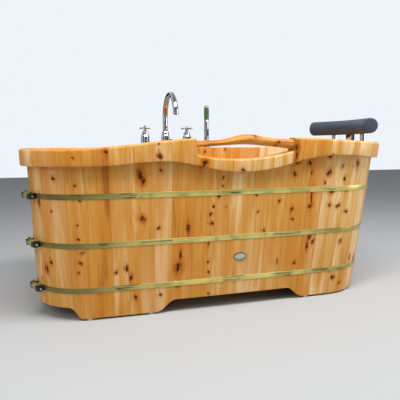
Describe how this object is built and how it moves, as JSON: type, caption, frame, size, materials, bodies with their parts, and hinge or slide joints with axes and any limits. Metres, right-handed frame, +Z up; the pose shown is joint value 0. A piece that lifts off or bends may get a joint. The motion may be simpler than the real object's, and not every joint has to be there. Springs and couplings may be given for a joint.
{
  "type": "freestanding soaking bathtub",
  "caption": "Freestanding oval-cornered wooden stave bathtub with brass hoops, a notched rim with a grab handle, deck taps with a swan-neck spout, and a roll headrest.",
  "frame": {"origin": "centre of the tub's footprint on the floor", "axes": "+X from the foot end to the head end with the headrest, -Y out of the notched front, +Z up"},
  "size_m": [1.5604, 0.7775, 0.907],
  "materials": {
    "stave_wood": "satin varnish",
    "floor_wood": "satin varnish",
    "hoop_brass": "antique",
    "dark_steel": "dark",
    "tap_chrome": "polished",
    "fixing_brass": "plain",
    "seal_rubber": "matte",
    "spray_rubber": "matte",
    "glide_plastic": "smooth",
    "rail_steel": "plain",
    "cushion_foam": "soft skin"
  },
  "bodies": {
    "tub": {"front_staves": "stave_wood", "rear_staves": "stave_wood", "foot_end_staves": "stave_wood", "head_end_staves": "stave_wood", "front_foot_corner_staves": "stave_wood", "front_head_corner_staves": "stave_wood", "rear_foot_corner_staves": "stave_wood", "rear_head_corner_staves": "stave_wood", "grab_handle": "stave_wood", "handle_dowels": "stave_wood", "floor_boards": "floor_wood", "floor_bearers": "floor_wood", "hoop_top": "hoop_brass", "hoop_middle": "hoop_brass", "hoop_bottom": "hoop_brass", "hoop_lugs": "hoop_brass", "tension_sleeves": "hoop_brass", "trunnion_pins": "hoop_brass", "badge_plate": "hoop_brass", "tension_bolts": "dark_steel", "tension_nuts": "dark_steel", "bearer_screws": "dark_steel", "hot_valve_body": "tap_chrome", "cold_valve_body": "tap_chrome", "spout_base": "tap_chrome", "hand_shower_socket": "tap_chrome", "headrest_sockets": "tap_chrome", "drain_body": "tap_chrome", "shank_backnuts": "fixing_brass", "drain_locknut": "fixing_brass", "drain_coupling": "fixing_brass", "drain_tailpiece": "fixing_brass", "shank_washers": "seal_rubber", "drain_gasket": "seal_rubber", "glides": "glide_plastic"},
    "hot_handle": {"hot_cross_handle": "tap_chrome", "hot_handle_cap": "tap_chrome"},
    "cold_handle": {"cold_cross_handle": "tap_chrome", "cold_handle_cap": "tap_chrome"},
    "spout_swivel": {"spout": "tap_chrome", "spout_aerator": "tap_chrome"},
    "diverter": {"diverter_knob": "tap_chrome"},
    "hand_shower": {"hand_shower_body": "tap_chrome", "hand_shower_face": "spray_rubber"},
    "drain_plug": {"drain_plug_cap": "tap_chrome", "drain_plug_stem": "fixing_brass", "drain_plug_seal": "seal_rubber"},
    "headrest": {"headrest_cushion": "cushion_foam", "headrest_rail": "rail_steel", "headrest_posts": "tap_chrome", "headrest_bracket": "tap_chrome"}
  },
  "joints": [
    {"name": "hot_handle_turn", "type": "hinge", "parent": "tub", "child": "hot_handle", "pos_m": [-0.203, 0.3605, 0.72], "axis": [0, 0, 1], "range_deg": [0, 90]},
    {"name": "cold_handle_turn", "type": "hinge", "parent": "tub", "child": "cold_handle", "pos_m": [0.019, 0.3605, 0.72], "axis": [0, 0, 1], "range_deg": [0, 90]},
    {"name": "spout_turn", "type": "hinge", "parent": "tub", "child": "spout_swivel", "pos_m": [-0.097, 0.3605, 0.72], "axis": [0, 0, 1], "range_deg": [-60, 60]},
    {"name": "diverter_turn", "type": "hinge", "parent": "tub", "child": "diverter", "pos_m": [-0.07, 0.3605, 0.676], "axis": [1, 0, 0], "range_deg": [0, 90]},
    {"name": "hand_shower_lift", "type": "slide", "parent": "tub", "child": "hand_shower", "axis": [0, 0, 1], "range_m": [0, 0.12]},
    {"name": "drain_plug_lift", "type": "slide", "parent": "tub", "child": "drain_plug", "axis": [0, 0, 1], "range_m": [0, 0.009]},
    {"name": "headrest_lift", "type": "slide", "parent": "tub", "child": "headrest", "axis": [0, 0, 1], "range_m": [0, 0.06]}
  ]
}
